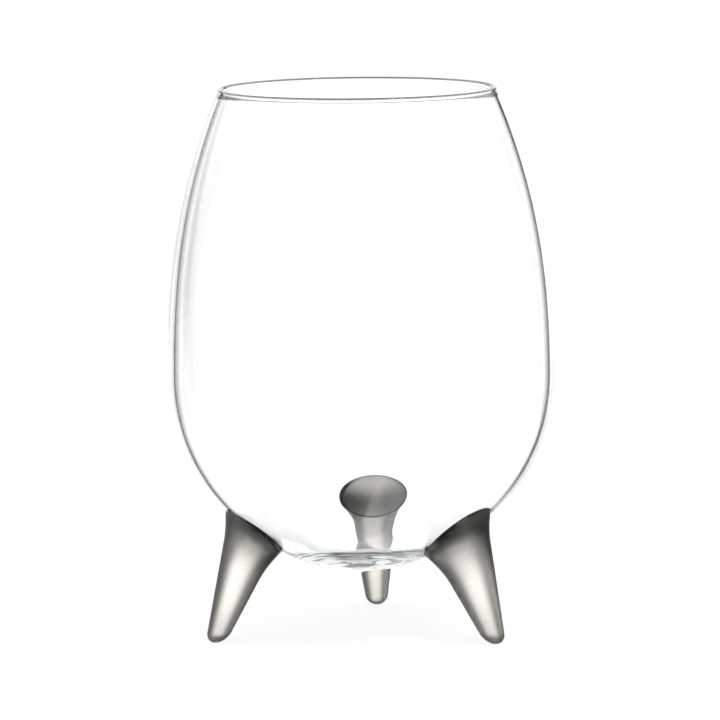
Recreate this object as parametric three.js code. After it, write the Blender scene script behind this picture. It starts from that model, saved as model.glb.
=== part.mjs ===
// Stemless drinking glass: a clear mouth-blown bowl fused to three solid frosted glass legs.
// Millimetres, +Z up. The origin is on the table, on the bowl's axis, and leg_rear stands on the +Y side.

import * as THREE from 'three';

// Whole glass
const glassHeight = 127.6;
const waistRadius = 45;
const waistHeight = 60.2;
const undersideHeight = 14.8;
const rimRadius = 32.6;
const rimLeanDegrees = 22.7;

// Glass thickness, from the puddled base up to the rim bead
const baseThickness = 4.6;
const baseReach = 20;
const heelWall = 1.45;
const rimWall = 1;
const beadSwell = 0.16;

// How far the shoulder holds its direction from the waist and from the rim, as shares of its rise
const waistHoldShare = 0.36;
const rimHoldShare = 0.363;

// Legs, drawn out and pressed on by hand, so that each root spreads in its own way
const footCircleRadius = 37.6;
const footRadius = 2.4;
const footFlatRadius = 0.9;
const flareHeight = 7;
const fusedGap = 0.3;
const legs = [
  { name: 'leg_rear', rootCircle: 28.9, rootRadius: 6, innerFlare: 0.9, outerFlare: 0.5, sideFlare: 2.2 },
  { name: 'leg_front_left', rootCircle: 27.6, rootRadius: 6.8, innerFlare: 2, outerFlare: 0.8, sideFlare: 1.4 },
  { name: 'leg_front_right', rootCircle: 27, rootRadius: 7.7, innerFlare: 3.4, outerFlare: 1.7, sideFlare: 0.1 },
];

// Facets
const bowlSides = 60;
const undersideSteps = 14;
const shoulderSteps = 15;
const beadSteps = 7;
const legSides = 32;
const roundingSteps = 4;
const shankSteps = 5;
const flareSteps = 5;
const seatSteps = 4;

// The bowl's underside is half an ellipsoid, and each leg's seat is the same form one fused gap larger.
const undersideDepth = waistHeight - undersideHeight;
const underside = new THREE.EllipseCurve(0, waistHeight, waistRadius, undersideDepth, -Math.PI / 2, 0);

function seatHeight(radius) {
  const share = Math.min(radius / (waistRadius + fusedGap), 1);
  return waistHeight - (undersideDepth + fusedGap) * Math.sqrt(1 - share ** 2);
}

// The fire-polished bead is a round rod a little thicker than the wall that runs into it.
const beadRadius = rimWall / 2 + beadSwell;
const rimLean = THREE.MathUtils.degToRad(rimLeanDegrees);
const beadNeck = Math.acos(rimWall / 2 / beadRadius);
const bead = new THREE.EllipseCurve(
  rimRadius - beadRadius,
  glassHeight - beadRadius,
  beadRadius,
  beadRadius,
  rimLean - beadNeck,
  rimLean + Math.PI + beadNeck
);

// The shoulder leaves the waist upright and leans in to meet the bead.
function shoulderCurve() {
  const rise = glassHeight - waistHeight;
  const waist = new THREE.Vector2(waistRadius, waistHeight);
  const wallTop = bead.getPoint(0);
  const upright = new THREE.Vector2(0, rise * waistHoldShare);
  const leaning = new THREE.Vector2(-Math.sin(rimLean), Math.cos(rimLean)).multiplyScalar(rise * rimHoldShare);
  return new THREE.CubicBezierCurve(waist, waist.clone().add(upright), wallTop.clone().sub(leaning), wallTop);
}

// The wall thins steadily from heel to rim, and the base swells where the gather of glass settled.
function thicknessAt(point) {
  const heightShare = (point.y - undersideHeight) / (glassHeight - undersideHeight);
  const wall = THREE.MathUtils.lerp(heelWall, rimWall, heightShare);
  const swellShare = Math.max(1 - (point.x / baseReach) ** 2, 0);
  return wall + (baseThickness - heelWall) * swellShare ** 2;
}

// Points along a curve of the outer face, each with the point of the inner face that lies square behind it
function wallStations(curve, steps) {
  return Array.from({ length: steps + 1 }, (_, step) => {
    const outer = curve.getPoint(step / steps);
    const along = curve.getTangent(step / steps);
    const inward = new THREE.Vector2(-along.y, along.x);
    return { outer, inner: outer.clone().addScaledVector(inward, thicknessAt(outer)) };
  });
}

function bowlGeometry() {
  const lower = wallStations(underside, undersideSteps);
  const upper = wallStations(shoulderCurve(), shoulderSteps);
  const stations = [...lower, ...upper.slice(1, -1)];
  const axis = { outer: lower[0].outer.setX(0), inner: lower[0].inner.setX(0) };
  stations[0] = axis;
  const outerFace = stations.map((station) => station.outer);
  const innerFace = stations.map((station) => station.inner).reverse();
  const outline = [...outerFace, ...bead.getPoints(beadSteps), ...innerFace];
  return new THREE.LatheGeometry(outline, bowlSides).rotateX(Math.PI / 2);
}

// A leg leans in from its foot on the table to its root under the bowl, and widens as it goes.
// Its own frame has +X away from the bowl's axis. The spread says how much of the root's flare it has there.
function legPoint(leg, around, height, spread, drawnIn = 0) {
  const rise = height / seatHeight(leg.rootCircle);
  const centre = THREE.MathUtils.lerp(footCircleRadius, leg.rootCircle, rise);
  const radius = THREE.MathUtils.lerp(footRadius, leg.rootRadius, rise) - drawnIn;
  const endFlare = Math.cos(around) > 0 ? leg.outerFlare : leg.innerFlare;
  const outward = (radius + endFlare * spread) * Math.cos(around);
  const sideways = (radius + leg.sideFlare * spread) * Math.sin(around);
  return new THREE.Vector3(centre + outward, sideways, height);
}

// Height at which the flared flank meets the seat, found by halving the span between table and waist
function rootEdgeHeight(leg, around) {
  const fullSpread = 1;
  const halvings = 40;
  let below = 0;
  let above = waistHeight;
  for (let turn = 0; turn < halvings; turn += 1) {
    const middle = (below + above) / 2;
    const point = legPoint(leg, around, middle, fullSpread);
    if (seatHeight(Math.hypot(point.x, point.y)) > middle) below = middle;
    else above = middle;
  }
  return below;
}

function flankPoint(leg, around, height) {
  const drop = rootEdgeHeight(leg, around) - height;
  const flareShare = Math.max(1 - drop / flareHeight, 0);
  return legPoint(leg, around, height, flareShare ** 2);
}

// One ring of the leg, from a rule that gives the point at each angle around it
function ring(pointAt) {
  return Array.from({ length: legSides }, (_, side) => pointAt((side / legSides) * 2 * Math.PI));
}

// The foot is a half ball, cut by the small flat that stands on the table.
const flatTurn = Math.asin(footFlatRadius / footRadius);
const footTop = footRadius * Math.cos(flatTurn);

function footRings(leg) {
  return Array.from({ length: roundingSteps }, (_, step) => {
    const turn = THREE.MathUtils.lerp(flatTurn, Math.PI / 2, step / roundingSteps);
    const height = footTop - footRadius * Math.cos(turn);
    const drawnIn = footRadius * (1 - Math.sin(turn));
    return ring((around) => legPoint(leg, around, height, 0, drawnIn));
  });
}

function flankRings(leg) {
  const shank = Array.from({ length: shankSteps }, (_, step) => {
    return ring((around) => {
      const top = rootEdgeHeight(leg, around) - flareHeight;
      return flankPoint(leg, around, THREE.MathUtils.lerp(footTop, top, step / shankSteps));
    });
  });
  const flared = Array.from({ length: flareSteps + 1 }, (_, step) => {
    return ring((around) => {
      const drop = flareHeight * (1 - step / flareSteps);
      return flankPoint(leg, around, rootEdgeHeight(leg, around) - drop);
    });
  });
  return [...shank, ...flared];
}

// The saddle that seats on the bowl: rings that close in from the root's edge, all on the seat's surface
function seatRings(edge, centre) {
  return Array.from({ length: seatSteps - 1 }, (_, step) => {
    return edge.map((point) => {
      const seated = point.clone().lerp(centre, (step + 1) / seatSteps);
      return seated.setZ(seatHeight(Math.hypot(seated.x, seated.y)));
    });
  });
}

// Closed skin over rings that run from a bottom point to a top point
function loft(bottom, rings, top) {
  const points = [...rings.flat(), bottom, top];
  const topIndex = points.indexOf(top);
  const bottomIndex = points.indexOf(bottom);
  const sides = rings[0].length;
  const lastRing = bottomIndex - sides;
  const faces = [];
  for (let side = 0; side < sides; side += 1) {
    const next = (side + 1) % sides;
    faces.push(bottomIndex, next, side);
    for (let low = 0; low < lastRing; low += sides) {
      const high = low + sides;
      faces.push(low + side, low + next, high + next);
      faces.push(low + side, high + next, high + side);
    }
    faces.push(lastRing + side, lastRing + next, topIndex);
  }
  return new THREE.BufferGeometry().setFromPoints(points).setIndex(faces);
}

function legGeometry(leg) {
  const foot = new THREE.Vector3(footCircleRadius, 0, 0);
  const root = new THREE.Vector3(leg.rootCircle, 0, seatHeight(leg.rootCircle));
  const sides = [...footRings(leg), ...flankRings(leg)];
  const saddle = seatRings(sides.at(-1), root);
  const geometry = loft(foot, [...sides, ...saddle], root);
  geometry.computeVertexNormals();
  return geometry;
}

// Materials
function clearGlass() {
  return new THREE.MeshStandardMaterial({
    color: '#eef3f2',
    roughness: 0.03,
    metalness: 0,
    transparent: true,
    opacity: 0.3,
  });
}

function frostedGlass() {
  return new THREE.MeshStandardMaterial({ color: '#c9c6c0', roughness: 0.6, metalness: 0 });
}

// Assembly
const glass = new THREE.Group();

const bowl = new THREE.Mesh(bowlGeometry(), clearGlass());
bowl.name = 'bowl';
glass.add(bowl);

// The legs stand evenly round the bowl, from the rear one on +Y.
for (const [turn, leg] of legs.entries()) {
  const rod = new THREE.Mesh(legGeometry(leg), frostedGlass());
  rod.name = leg.name;
  rod.rotation.z = Math.PI / 2 + (turn / legs.length) * 2 * Math.PI;
  glass.add(rod);
}

export default glass;
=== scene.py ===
from collections import namedtuple
from math import acos, asin, cos, pi, radians, sin, sqrt

import bmesh
import bpy
from mathutils import Matrix, Vector, noise


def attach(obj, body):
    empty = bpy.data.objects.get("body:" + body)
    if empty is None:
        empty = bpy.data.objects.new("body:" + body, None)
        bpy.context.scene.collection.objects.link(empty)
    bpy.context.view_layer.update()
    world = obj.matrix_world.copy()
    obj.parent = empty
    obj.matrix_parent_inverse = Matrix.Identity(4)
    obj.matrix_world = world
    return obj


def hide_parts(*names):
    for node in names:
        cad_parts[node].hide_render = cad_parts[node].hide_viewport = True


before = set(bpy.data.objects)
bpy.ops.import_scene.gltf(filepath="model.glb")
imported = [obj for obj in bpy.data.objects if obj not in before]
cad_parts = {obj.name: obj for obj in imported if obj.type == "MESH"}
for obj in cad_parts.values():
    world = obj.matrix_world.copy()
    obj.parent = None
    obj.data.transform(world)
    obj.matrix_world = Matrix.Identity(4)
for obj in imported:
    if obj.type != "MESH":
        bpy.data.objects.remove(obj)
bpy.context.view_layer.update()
scene = bpy.context.scene
scene.view_settings.view_transform = "Standard"

# Camera: a long lens that looks down on the glass by 7 degrees, from a little to the right of the rear leg's
# line. It is rolled a touch, as the photograph was taken, and aims at a point on the glass's axis. The lens
# and its sensor are in millimetres, and all other lengths in this script are in metres.
camera_distance = 1.4623
camera_rise = radians(6.977)
camera_turn = radians(5.318)
camera_roll = radians(-0.6)
aim_height = 0.06373
lens_length = 312.93
sensor_width = 36


def towards_lens(turn, rise):
    return Vector((sin(turn) * cos(rise), -cos(turn) * cos(rise), sin(rise)))


camera_right = Vector((cos(camera_turn), sin(camera_turn), 0))
camera_back = towards_lens(camera_turn, camera_rise)
camera = bpy.data.objects.new("camera", bpy.data.cameras.new("camera"))
camera.data.lens = lens_length
camera.data.sensor_width = sensor_width
unrolled = Matrix((camera_right, camera_back.cross(camera_right), camera_back)).transposed()
camera.matrix_world = (unrolled @ Matrix.Rotation(camera_roll, 3, "Z")).to_4x4()
camera.location = Vector((0, 0, aim_height)) + camera_back * camera_distance
scene.collection.objects.link(camera)
scene.camera = camera

# Room: the white room that clear glass is photographed in. The lens sees plain white. Clear glass bends and
# mirrors white walls with dark rings and patches on them, which draw its edges. Frosted glass scatters a dim
# room with four soft windows.
room_white = (1, 1, 1, 1)
wall_strength = 1.24
scatter_strength = 1.36
ambient_strength = 0.9
ring_level = 0.02
patch_level = 0.15
dim_level = 0.07
full_turn = 360
half_turn = 180

# A ring is opposite the lens, and one is opposite each of three other lines of sight, which are given by turn
# and rise in degrees. A stop is an angle off the ring's middle and the level there.
ring_shift = radians(3)
ring_stops = [(21.5, 1), (23.5, ring_level), (31, ring_level)]
hard_ring_stops = [*ring_stops, (34.5, 1)]
soft_ring_stops = [*ring_stops, (34.5, 0.4), (42, 0.88), (57, 1)]
other_sight_lines = [(45, 25), (90, 3), (225, 15)]
clear_of_main_ring = (40, 42)

# Turns are in degrees from the far side towards the right. A window, gap or patch has its middle, half its
# width, the width of its soft edge, and its level.
windows = [(-90, 12, 14, 1), (-45, 4, 10, 0.65), (-3, 12, 14, 1), (135, 12, 14, 1)]
ring_gap = (-5, 14, 6, 0.85)
far_patch = (-5, 26, 12, 1)
back_patch_stops = [(-180, 1), (-147, 1), (-139, 0), (158, 0), (166, 1)]

# Heights are sines above the horizon, from where a change starts to where it ends.
soft_ring_heights = (-0.3, -0.2)
ring_top_heights = (0.14, 0.24)
ring_gap_heights = (-0.3, -0.4)
back_patch_heights = (0.8, 0.6)
overhead_heights = (0.86, 0.92)
far_patch_heights = (0.6, 0.72)
window_foot_heights = (-0.8, -0.6)
window_top_heights = (0.35, 0.2)


def add_node(tree, kind, **settings):
    made = tree.nodes.new(kind)
    for name, value in settings.items():
        setattr(made, name, value)
    return made


# Links a socket, or sets a plain value on it
def feed(socket, value):
    if isinstance(value, bpy.types.NodeSocket):
        socket.id_data.links.new(value, socket)
    else:
        socket.default_value = value


def math_node(tree, operation, *values):
    made = add_node(tree, "ShaderNodeMath", operation=operation)
    for socket, value in zip(made.inputs, values):
        feed(socket, value)
    return made.outputs[0]


def combine(tree, operation, first, *others):
    for other in others:
        first = math_node(tree, operation, first, other)
    return first


def mix_node(tree, kind, share, first, second):
    mixed = add_node(tree, "ShaderNodeMix", data_type=kind)
    used = [socket for socket in mixed.inputs if socket.enabled]
    for socket, value in zip(used, (share, first, second)):
        feed(socket, value)
    return next(socket for socket in mixed.outputs if socket.enabled)


def smooth_step(tree, level, start, end):
    step = add_node(tree, "ShaderNodeMapRange", interpolation_type="SMOOTHSTEP")
    feed(step.inputs["Value"], level)
    feed(step.inputs["From Min"], start)
    feed(step.inputs["From Max"], end)
    return step.outputs[0]


def ramp_node(tree, level, stops):
    ramp = add_node(tree, "ShaderNodeValToRGB")
    feed(ramp.inputs["Fac"], level)
    while len(ramp.color_ramp.elements) < len(stops):
        ramp.color_ramp.elements.new(1)
    for element, (place, value) in zip(ramp.color_ramp.elements, stops):
        element.position = place
        element.color = (value, value, value, 1)
    return ramp.outputs["Color"]


room = bpy.data.worlds.new("white_room")
scene.world = room
room.use_nodes = True
room_tree = room.node_tree
room_tree.nodes.clear()
outward = add_node(room_tree, "ShaderNodeTexCoord").outputs["Generated"]
direction = add_node(room_tree, "ShaderNodeSeparateXYZ")
feed(direction.inputs["Vector"], outward)
across, along, sine_height = direction.outputs
turn_angle = math_node(room_tree, "ARCTAN2", across, along)
turn_share = math_node(room_tree, "MULTIPLY_ADD", turn_angle, 1 / (2 * pi), 0.5)


def room_product(*levels):
    return combine(room_tree, "MULTIPLY", *levels)


def room_mix(share, first, second):
    return mix_node(room_tree, "FLOAT", share, first, second)


def between_heights(heights):
    return smooth_step(room_tree, sine_height, *heights)


def round_room(stops):
    return ramp_node(room_tree, turn_share, [(0.5 + turn / full_turn, level) for turn, level in stops])


def patch_stops(middle, half_width, soft_width, level, rest=0):
    edges = (-half_width - soft_width, -half_width, half_width, half_width + soft_width)
    return [(middle + edge, value) for edge, value in zip(edges, (rest, level, level, rest))]


# The angle between a ray's direction and a middle, as a share of half a turn
def off_share(middle):
    alignment = add_node(room_tree, "ShaderNodeVectorMath", operation="DOT_PRODUCT")
    feed(alignment.inputs[0], outward)
    feed(alignment.inputs[1], middle)
    return room_product(math_node(room_tree, "ARCCOSINE", alignment.outputs["Value"]), 1 / pi)


def ring_light(angle_share, stops):
    return ramp_node(room_tree, angle_share, [(angle / half_turn, level) for angle, level in stops])


off_main_share = off_share(Matrix.Rotation(ring_shift, 3, "Z") @ -camera_back)
hard_ring = ring_light(off_main_share, hard_ring_stops)
soft_ring = ring_light(off_main_share, soft_ring_stops)
main_ring = room_mix(between_heights(soft_ring_heights), hard_ring, soft_ring)
main_ring = room_mix(between_heights(ring_top_heights), main_ring, 1)
gap = room_product(round_room(patch_stops(*ring_gap)), between_heights(ring_gap_heights))
main_ring = room_mix(gap, main_ring, 1)

other_shares = [off_share(-towards_lens(radians(turn), radians(rise))) for turn, rise in other_sight_lines]
other_rings = ring_light(combine(room_tree, "MINIMUM", *other_shares), soft_ring_stops)
start_share, end_share = [angle / half_turn for angle in clear_of_main_ring]
other_rings = room_mix(smooth_step(room_tree, off_main_share, start_share, end_share), 1, other_rings)

back_patch = room_product(round_room(back_patch_stops), between_heights(back_patch_heights))
high_patch = room_product(round_room(patch_stops(*far_patch)), between_heights(far_patch_heights))
patches = combine(room_tree, "MAXIMUM", back_patch, between_heights(overhead_heights), high_patch)
walls = room_mix(patches, room_product(main_ring, other_rings), patch_level)
walls = room_product(walls, wall_strength)

window_light = round_room([stop for window in windows for stop in patch_stops(*window, rest=dim_level)])
window_height = room_product(between_heights(window_foot_heights), between_heights(window_top_heights))
scattered = room_product(room_mix(window_height, dim_level, window_light), scatter_strength)

path = add_node(room_tree, "ShaderNodeLightPath")
glass_ray = combine(room_tree, "MAXIMUM", path.outputs["Is Glossy Ray"], path.outputs["Is Transmission Ray"])
seen_in_glass = room_mix(path.outputs["Is Singular Ray"], scattered, walls)
plain_light = room_mix(path.outputs["Is Camera Ray"], ambient_strength, 1)
background = add_node(room_tree, "ShaderNodeBackground")
feed(background.inputs["Color"], room_white)
feed(background.inputs["Strength"], room_mix(glass_ray, plain_light, seen_in_glass))
feed(add_node(room_tree, "ShaderNodeOutputWorld").inputs["Surface"], background.outputs["Background"])

# Floor: a round white table top just under the feet. The lens sees it almost as white as the room, with a
# faint shadow of the glass.
floor_radius = 0.16
floor_gap = 0.00005
floor_sides = 96
floor_white = (0.9, 0.9, 0.9, 1)
floor_glow_share = 0.8
floor_glow = 1.1

mesh = bmesh.new()
bmesh.ops.create_circle(mesh, cap_ends=True, segments=floor_sides, radius=floor_radius)
bmesh.ops.translate(mesh, verts=mesh.verts, vec=(0, 0, -floor_gap))
floor_mesh = bpy.data.meshes.new("floor")
mesh.to_mesh(floor_mesh)
mesh.free()
floor = bpy.data.objects.new("floor", floor_mesh)
scene.collection.objects.link(floor)
floor.visible_transmission = False
floor.visible_glossy = False

white_top = bpy.data.materials.new("white_top")
white_top.use_nodes = True
tree = white_top.node_tree
tree.nodes.clear()
matt = add_node(tree, "ShaderNodeBsdfDiffuse")
feed(matt.inputs["Color"], floor_white)
glow = add_node(tree, "ShaderNodeEmission")
feed(glow.inputs["Strength"], floor_glow)
path = add_node(tree, "ShaderNodeLightPath")
seen_by = [path.outputs[kind] for kind in ("Is Camera Ray", "Is Glossy Ray", "Is Transmission Ray")]
both = add_node(tree, "ShaderNodeMixShader")
feed(both.inputs["Fac"], math_node(tree, "MULTIPLY", combine(tree, "MAXIMUM", *seen_by), floor_glow_share))
feed(both.inputs[1], matt.outputs[0])
feed(both.inputs[2], glow.outputs[0])
feed(add_node(tree, "ShaderNodeOutputMaterial").inputs["Surface"], both.outputs[0])
floor_mesh.materials.append(white_top)

# Soft box: one large plain lamp to the right, in front of the table and above it, for the floor's light and
# small highlights. Light may pass through many walls of glass.
box_place = Vector((0.5, -0.5, 0.9))
box_size = 0.22
box_power = 2
glass_bounces = 32
mirror_bounces = 16
matt_bounces = 4

lamp = bpy.data.objects.new("soft_box", bpy.data.lights.new("soft_box", "AREA"))
lamp.data.size = box_size
lamp.data.energy = box_power
lamp.location = box_place
lamp.rotation_euler = (-box_place).to_track_quat("-Z", "Y").to_euler()
scene.collection.objects.link(lamp)
lamp.visible_transmission = False

scene.cycles.use_denoising = True
scene.cycles.max_bounces = glass_bounces
scene.cycles.transmission_bounces = glass_bounces
scene.cycles.glossy_bounces = mirror_bounces
scene.cycles.diffuse_bounces = matt_bounces

# Bowl: clear glass, blown in one piece. The wall thins from heel to rim, the base is thicker where the hot
# glass settled, a little off centre, and the rim is melted round. It is carried by the three legs.
waist_radius = 0.045
waist_height = 0.0602
underside_height = 0.0148
glass_height = 0.1276
rim_radius = 0.0326
rim_lean = radians(22.7)
base_thickness = 0.0046
base_reach = 0.017
base_centre = Vector((0.001, -0.0065))
heel_wall = 0.00145
rim_wall = 0.001
bead_swell = 0.00016
waist_hold_share = 0.36
rim_hold_share = 0.363

# What hands and heat left uneven: ripples and waves in the inner base, a drift of the inner face, and a sag
# and a lump under the base
ripple_depth = 0.0003
ripple_reach = 0.017
ripples_per_metre = 210
wave_depth = 0.00013
wave_reach = 0.038
waves_per_metre = 170
inner_drift = 0.0004
sag_depth = 0.0006
sag_reach = 0.022
lump_depth = 0.0005
lump_reach = 0.0045

underside_steps = 64
shoulder_steps = 64
bead_steps = 24
bowl_sides = 192
slope_step_share = 0.001
merge_distance = 0.000001

untinted = (1, 1, 1, 1)
# Painted shade: a dark reddish-grey tint over the rim's top half millimetre draws the dark line along the
# rim.
rim_painted_shade = (0.06, 0.043, 0.04, 1)
rim_shade_drop = 0.00055
full_shade_drop = 0.0003
refraction = 1.5
soak_colour = (0.3, 0.42, 0.4, 1)
soak_density = 16
skin_waves_per_metre = 55
skin_wave_depth = 0.00005
skin_wave_strength = 0.2

underside_depth = waist_height - underside_height
rise = glass_height - waist_height
bead_radius = rim_wall / 2 + bead_swell
bead_neck = acos(rim_wall / 2 / bead_radius)
bead_centre = Vector((rim_radius - bead_radius, glass_height - bead_radius))


def bead_point(share):
    angle = rim_lean - bead_neck + (pi + 2 * bead_neck) * share
    return bead_centre + bead_radius * Vector((cos(angle), sin(angle)))


def underside_point(share):
    angle = (share - 1) * pi / 2
    return Vector((waist_radius * cos(angle), waist_height + underside_depth * sin(angle)))


def shoulder_point(share):
    waist = Vector((waist_radius, waist_height))
    wall_top = bead_point(0)
    upright = waist + Vector((0, rise * waist_hold_share))
    leaning = wall_top - Vector((-sin(rim_lean), cos(rim_lean))) * rise * rim_hold_share
    back = 1 - share
    weights = (back**3, 3 * back**2 * share, 3 * back * share**2, share**3)
    points = (waist, upright, leaning, wall_top)
    return sum((weight * point for weight, point in zip(weights, points)), Vector((0, 0)))


def climb_share(height):
    return (height - underside_height) / (glass_height - underside_height)


def wall_points(curve, steps):
    outer, inner = [], []
    for step in range(steps + 1):
        share = step / steps
        slope = curve(min(share + slope_step_share, 1)) - curve(max(share - slope_step_share, 0))
        inward = Vector((-slope.y, slope.x)).normalized()
        point = curve(share)
        outer.append(point)
        inner.append(point + inward * (heel_wall + (rim_wall - heel_wall) * climb_share(point.y)))
    return outer, inner


# 1 in the middle of a reach, and 0 from its edge on
def near_share(distance, reach):
    return max(1 - (distance / reach) ** 2, 0)


def finished_piece(name, mesh, material, node):
    made = bpy.data.meshes.new(name)
    mesh.to_mesh(made)
    mesh.free()
    made.polygons.foreach_set("use_smooth", [True] * len(made.polygons))
    made.materials.append(material)
    piece = bpy.data.objects.new(name, made)
    scene.collection.objects.link(piece)
    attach(piece, "root")
    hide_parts(node)


lower_outer, lower_inner = wall_points(underside_point, underside_steps)
upper_outer, upper_inner = wall_points(shoulder_point, shoulder_steps)
bead = [bead_point(step / bead_steps) for step in range(bead_steps + 1)]
inner_face = upper_inner[-2:0:-1] + lower_inner[::-1]
outline = lower_outer + upper_outer[1:-1] + bead + inner_face
outline[0].x = 0
outline[-1].x = 0

mesh = bmesh.new()
inside = mesh.verts.layers.float.new("inside")
chain = [mesh.verts.new((point.x, 0, point.y)) for point in outline]
for vert in chain[-len(inner_face):]:
    vert[inside] = 1
edges = [mesh.edges.new(pair) for pair in zip(chain, chain[1:])]
bmesh.ops.spin(
    mesh, geom=chain + edges, cent=(0, 0, 0), axis=(0, 0, 1), angle=2 * pi, steps=bowl_sides, use_merge=True
)
bmesh.ops.remove_doubles(mesh, verts=mesh.verts, dist=merge_distance)
for vert in mesh.verts:
    radius = vert.co.xy.length
    drift_share = sin(pi * climb_share(vert.co.z))
    under_waist = vert.co.z < waist_height
    if vert[inside] and under_waist:
        off_centre = (vert.co.xy - base_centre).length
        vert.co.z += (base_thickness - heel_wall) * near_share(off_centre, base_reach) ** 2
        ripple = ripple_depth * near_share(radius, ripple_reach)
        vert.co.z += ripple * noise.noise(vert.co * ripples_per_metre)
        wave = wave_depth * near_share(radius, wave_reach)
        vert.co.z += wave * noise.noise(vert.co * waves_per_metre)
    if vert[inside]:
        vert.co.x += inner_drift * drift_share
    elif under_waist:
        vert.co.z -= sag_depth * near_share(radius, sag_reach) ** 2
        vert.co.z -= lump_depth * near_share(radius, lump_reach) ** 2
mesh.verts.layers.float.remove(inside)
bmesh.ops.recalc_face_normals(mesh, faces=mesh.faces)

clear_glass = bpy.data.materials.new("clear_glass")
clear_glass.use_nodes = True
tree = clear_glass.node_tree
glass = tree.nodes["Principled BSDF"]
feed(glass.inputs["Roughness"], 0)
feed(glass.inputs["IOR"], refraction)
feed(glass.inputs["Transmission Weight"], 1)

place = add_node(tree, "ShaderNodeTexCoord").outputs["Object"]
split_place = add_node(tree, "ShaderNodeSeparateXYZ")
feed(split_place.inputs["Vector"], place)
height = split_place.outputs["Z"]
# Painted shade: the rim's top is tinted dark.
rim_shade_share = smooth_step(tree, height, glass_height - rim_shade_drop, glass_height - full_shade_drop)
feed(glass.inputs["Base Color"], mix_node(tree, "RGBA", rim_shade_share, untinted, rim_painted_shade))

skin = add_node(tree, "ShaderNodeTexNoise")
feed(skin.inputs["Vector"], place)
feed(skin.inputs["Scale"], skin_waves_per_metre)
bump = add_node(tree, "ShaderNodeBump")
feed(bump.inputs["Strength"], skin_wave_strength)
feed(bump.inputs["Distance"], skin_wave_depth)
feed(bump.inputs["Height"], skin.outputs["Fac"])
feed(glass.inputs["Normal"], bump.outputs[0])

soak = add_node(tree, "ShaderNodeVolumeAbsorption")
feed(soak.inputs["Color"], soak_colour)
feed(soak.inputs["Density"], soak_density)
feed(tree.nodes["Material Output"].inputs["Volume"], soak.outputs[0])

finished_piece("clear_bowl", mesh, clear_glass, "bowl")

# Legs: three solid rods of glass, drawn to a taper, fused hot to the bowl's underside and then sandblasted to
# a satin finish, all but the melted collar at the root. Each leans in from its foot and, as it was pressed on
# by hand, spreads in its own way where it meets the bowl.
Leg = namedtuple("Leg", "name root_circle root_radius inner_flare outer_flare side_flare")
legs = [
    Leg("leg_rear", 0.0289, 0.006, 0.0009, 0.0005, 0.0022),
    Leg("leg_front_left", 0.0276, 0.0068, 0.002, 0.0008, 0.0014),
    Leg("leg_front_right", 0.027, 0.0077, 0.0034, 0.0017, 0.0001),
]
foot_circle_radius = 0.0376
foot_radius = 0.0024
foot_flat_radius = 0.0009
flare_height = 0.007
root_sunk = 0.0002

leg_sides = 96
foot_rings = 16
shank_rings = 24
flare_rings = 20
cap_rings = 14
halvings = 40
crisp_angle = radians(35)

# Colours of the frosted glass. Light crosses its skin twice or more, so a dark tone needs a very dark colour.
# The shank is near white and the foot greyer. Painted shade darkens the root, the edges, the inner neck, the
# melted collar and thin lines round the cap, which is the face that is fused to the bowl. The cap carries
# painted light and shade, and a painted highlight runs as a bright line along the dark collar.
shank_white = (0.97, 0.94, 0.89, 1)
root_painted_shade = (0.36, 0.345, 0.31, 1)
foot_grey = (0.66, 0.64, 0.6, 1)
root_edge_painted_shade = (0.15, 0.144, 0.125, 1)
foot_edge_painted_shade = (0.46, 0.445, 0.4, 1)
neck_painted_shade = (0.12, 0.116, 0.103, 1)
painted_shade_black = (0.005, 0.005, 0.0045, 1)
painted_glint_white = (0.95, 0.94, 0.92, 1)
cap_painted_shade = (0, 0, 0, 1)
cap_painted_light = (1, 0.98, 0.935, 1)
grain_white = (0.98, 0.97, 0.95, 1)
grain_grey = (0.12, 0.11, 0.1, 1)

# Distances down the flank from the root's edge, from where a change starts to where it ends. On the cap they
# are distances in from that edge, and negative.
on_flank_drops = (0.00002, 0.0001)
off_rim_drops = (0.0005, 0.0001)
glint_top_drops = (0.0004, 0.0006)
glint_foot_drops = (0.0012, 0.0009)
collar_drops = (0.0021, 0.0008)
collar_lean = 0.0009
root_drops = (0.0105, 0.001)
neck_drops = (0.016, 0.011)
foot_edge_drops = (0.008, 0.03)
foot_drops = (0.018, 0.034)
near_rim_drops = (-0.0007, -0.0004)
crescent_drops = (-0.0009, -0.0005)
crescent_lean = 0.0004

# Shares of the root's reach away from the bowl's axis, squares of its shares sideways, and shares of how far
# a face turns from the eye. The cap's painted light and shade has places from the root's inner to its outer
# end, with levels.
inner_flank_shares = (0.1, -0.2)
near_rim_shares = (0, -0.4)
glint_start_shares = (-0.75, -0.6)
glint_end_shares = (-0.2, -0.3)
middle_square_shares = (0.4, 0.15)
crescent_square_shares = (0.1, 0.7)
glint_square_shares = (0.3, 0.5)
edge_facing_shares = (0.05, 0.6)
neck_shade_share = 0.8
cap_light_shares = [
    (0.04, 0.2), (0.18, 0.27), (0.25, 0.19), (0.34, 0.1), (0.45, 0.08), (0.55, 0.15), (0.67, 0.55), (0.78, 1)
]

# Grain of the sandblasted skin, lighter and darker than the tone under it
grains_per_metre = 2400
grain_detail = 3
grain_depth = 0.0001
grain_strength = 0.25
white_grain_shares = (0.4, 0.66)
grey_grain_shares = (0.6, 0.34)
grey_grain_share = 0.5
grain_tone_share = 0.3
satin_roughness = 0.36
grain_roughness = 0.1
melted_roughness = 0.12

flat_turn = asin(foot_flat_radius / foot_radius)
foot_top = foot_radius * cos(flat_turn)
rim_ring = foot_rings + shank_rings + flare_rings
turns = [side / leg_sides * 2 * pi for side in range(leg_sides)]


def blend(low, high, share):
    return low + (high - low) * share


def seat_height(radius):
    return waist_height - underside_depth * sqrt(1 - min(radius / waist_radius, 1) ** 2)


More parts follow.
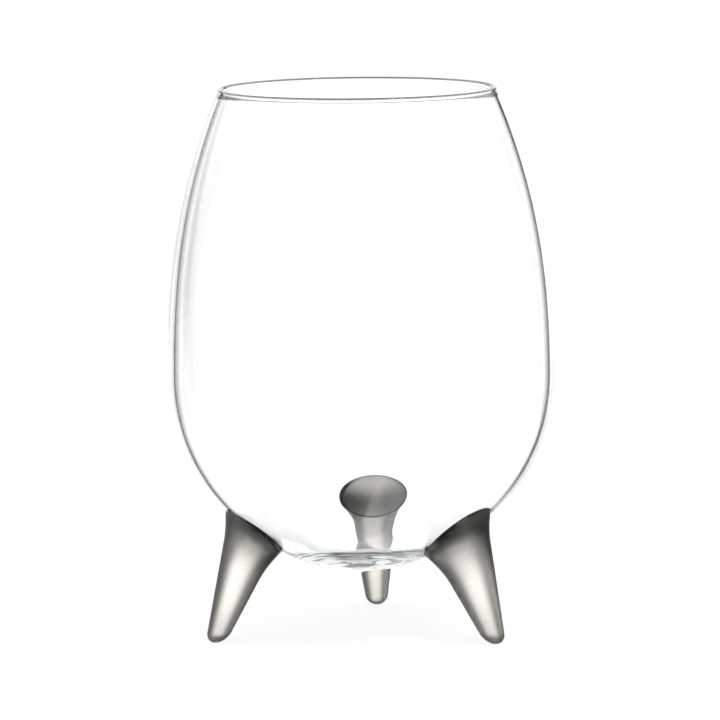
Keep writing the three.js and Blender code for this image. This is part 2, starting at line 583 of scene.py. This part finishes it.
def leg_point(leg, around, height, spread=1, drawn_in=0):
    climb = height / seat_height(leg.root_circle)
    centre = blend(foot_circle_radius, leg.root_circle, climb)
    radius = blend(foot_radius, leg.root_radius, climb) - drawn_in
    end_flare = leg.outer_flare if cos(around) > 0 else leg.inner_flare
    outward = (radius + end_flare * spread) * cos(around)
    sideways = (radius + leg.side_flare * spread) * sin(around)
    return Vector((centre + outward, sideways, height))


def root_edge_height(leg, around):
    below, above = 0, waist_height
    for halving in range(halvings):
        middle = (below + above) / 2
        if seat_height(leg_point(leg, around, middle).xy.length) + root_sunk > middle:
            below = middle
        else:
            above = middle
    return below


def leg_rings(leg):
    edges = [root_edge_height(leg, around) for around in turns]

    def flank_ring(height_at):
        heights = [height_at(edge) for edge in edges]
        spreads = [max(1 - (edge - height) / flare_height, 0) ** 2 for edge, height in zip(edges, heights)]
        return [leg_point(leg, *place) for place in zip(turns, heights, spreads)]

    rings = []
    for step in range(foot_rings):
        roll = blend(flat_turn, pi / 2, step / foot_rings)
        height = foot_top - foot_radius * cos(roll)
        drawn_in = foot_radius * (1 - sin(roll))
        rings.append([leg_point(leg, around, height, 0, drawn_in) for around in turns])
    for step in range(shank_rings):
        rings.append(flank_ring(lambda edge: blend(foot_top, edge - flare_height, step / shank_rings)))
    for step in range(flare_rings + 1):
        rings.append(flank_ring(lambda edge: edge - flare_height * (1 - step / flare_rings)))
    centre = Vector((leg.root_circle, 0, 0))
    for step in range(1, cap_rings):
        seated = [point.lerp(centre, step / cap_rings) for point in rings[rim_ring]]
        for point in seated:
            point.z = seat_height(point.xy.length) + root_sunk
        rings.append(seated)
    return rings


# A point's distance below the root's edge, and its shares of the root's reach outward and sideways
def place_on_leg(leg, point, rim_point, on_cap):
    outward = point.x - leg.root_circle
    long_reach = leg.root_radius + (leg.outer_flare if outward > 0 else leg.inner_flare)
    wide_reach = leg.root_radius + leg.side_flare
    drop = seat_height(point.xy.length) + root_sunk - point.z
    if on_cap:
        drop = -(point - rim_point).length
    return Vector((drop, outward / long_reach, point.y / wide_reach))


def leg_mesh(leg, azimuth):
    rings = leg_rings(leg)
    mesh = bmesh.new()
    root_place = mesh.verts.layers.float_vector.new("root_place")
    loop = bmesh.ops.create_circle(mesh, segments=leg_sides, radius=foot_radius)["verts"]
    loop_edges = list(mesh.edges)
    bmesh.ops.contextual_create(mesh, geom=loop_edges)
    for number, ring in enumerate(rings):
        if number > 0:
            grown = bmesh.ops.extrude_edge_only(mesh, edges=loop_edges)["geom"]
            loop = [item for item in grown if isinstance(item, bmesh.types.BMVert)]
            loop_edges = [item for item in grown if isinstance(item, bmesh.types.BMEdge)]
        for vert, point, rim_point in zip(loop, ring, rings[rim_ring]):
            vert.co = point
            vert[root_place] = place_on_leg(leg, point, rim_point, number > rim_ring)
    bmesh.ops.contextual_create(mesh, geom=loop_edges)
    bmesh.ops.rotate(mesh, verts=mesh.verts, cent=(0, 0, 0), matrix=Matrix.Rotation(azimuth, 3, "Z"))
    bmesh.ops.recalc_face_normals(mesh, faces=mesh.faces)
    for edge in mesh.edges:
        edge.smooth = edge.calc_face_angle(0) < crisp_angle
    return mesh


frosted_glass = bpy.data.materials.new("frosted_glass")
frosted_glass.use_nodes = True
tree = frosted_glass.node_tree
glass = tree.nodes["Principled BSDF"]
feed(glass.inputs["IOR"], refraction)
feed(glass.inputs["Transmission Weight"], 1)


def masked(*masks):
    return combine(tree, "MULTIPLY", *masks)


def fade(level, limits):
    return smooth_step(tree, level, *limits)


def tinted(share, first, second):
    return mix_node(tree, "RGBA", share, first, second)


root_place = add_node(tree, "ShaderNodeSeparateXYZ")
stored_place = add_node(tree, "ShaderNodeAttribute", attribute_name="root_place")
feed(root_place.inputs["Vector"], stored_place.outputs["Vector"])
drop, outward_share, side_share = root_place.outputs
side_square = masked(side_share, side_share)
on_flank = fade(drop, on_flank_drops)
inner_flank = masked(fade(outward_share, inner_flank_shares), fade(side_square, middle_square_shares))

collar_drop = math_node(tree, "MULTIPLY_ADD", outward_share, collar_lean, drop)
off_inner_flank = math_node(tree, "SUBTRACT", 1, inner_flank)
collar = masked(fade(collar_drop, collar_drops), on_flank, off_inner_flank)
# Painted shade: dark crescents at the cap's sides and a dark line at its inner end.
crescent_drop = math_node(tree, "MULTIPLY_ADD", side_share, crescent_lean, drop)
crescents = masked(fade(crescent_drop, crescent_drops), fade(side_square, crescent_square_shares))
near_rim = masked(fade(drop, near_rim_drops), fade(outward_share, near_rim_shares))
rim_shade_lines = masked(combine(tree, "MAXIMUM", crescents, near_rim), fade(drop, off_rim_drops))
# Painted highlight: a bright line along the collar's inner part.
painted_glint = masked(
    fade(drop, glint_top_drops),
    fade(drop, glint_foot_drops),
    fade(outward_share, glint_start_shares),
    fade(outward_share, glint_end_shares),
    fade(side_square, glint_square_shares),
)

facing = add_node(tree, "ShaderNodeLayerWeight").outputs["Facing"]
# Painted shade: the leg darkens over its last centimetre towards the root.
body = tinted(fade(drop, root_drops), shank_white, root_painted_shade)
body = tinted(fade(drop, foot_drops), body, foot_grey)
# Painted shade: the edges darken where a face turns from the eye, most near the root.
painted_edge_shade = tinted(fade(drop, foot_edge_drops), root_edge_painted_shade, foot_edge_painted_shade)
body = tinted(fade(facing, edge_facing_shares), body, painted_edge_shade)
# Painted shade: the neck on the inner flank is greyer.
body = tinted(masked(inner_flank, fade(drop, neck_drops), neck_shade_share), body, neck_painted_shade)
# The cap's light runs over shares from 0 to 1, and the root's shares from -1 to 1
across_cap = math_node(tree, "MULTIPLY_ADD", outward_share, 0.5, 0.5)
# Painted light and shade: the cap is dark in its middle and bright at its outer end.
painted_cap_light = tinted(ramp_node(tree, across_cap, cap_light_shares), cap_painted_shade, cap_painted_light)
body = tinted(on_flank, painted_cap_light, body)
# Painted shade: the collar and the lines round the cap are near black. The collar's smooth melted finish is
# real.
body = tinted(combine(tree, "MAXIMUM", collar, rim_shade_lines), body, painted_shade_black)
# Painted highlight: the bright line along the collar.
body = tinted(painted_glint, body, painted_glint_white)

grain = add_node(tree, "ShaderNodeTexNoise")
feed(grain.inputs["Vector"], add_node(tree, "ShaderNodeTexCoord").outputs["Object"])
feed(grain.inputs["Scale"], grains_per_metre)
feed(grain.inputs["Detail"], grain_detail)
grain_height = grain.outputs["Fac"]
speckled = tinted(fade(grain_height, white_grain_shares), body, grain_white)
dulled = tinted(fade(grain_height, grey_grain_shares), body, grain_grey)
grained = tinted(grey_grain_share, speckled, dulled)
feed(glass.inputs["Base Color"], tinted(masked(on_flank, grain_tone_share), body, grained))

satin = math_node(tree, "MULTIPLY_ADD", grain_height, grain_roughness, satin_roughness)
feed(glass.inputs["Roughness"], mix_node(tree, "FLOAT", collar, satin, melted_roughness))
bump = add_node(tree, "ShaderNodeBump")
feed(bump.inputs["Strength"], grain_strength)
feed(bump.inputs["Distance"], grain_depth)
feed(bump.inputs["Height"], grain_height)
feed(glass.inputs["Normal"], bump.outputs[0])

for number, leg in enumerate(legs):
    azimuth = pi / 2 + number / len(legs) * 2 * pi
    finished_piece(f"frosted_{leg.name}", leg_mesh(leg, azimuth), frosted_glass, leg.name)
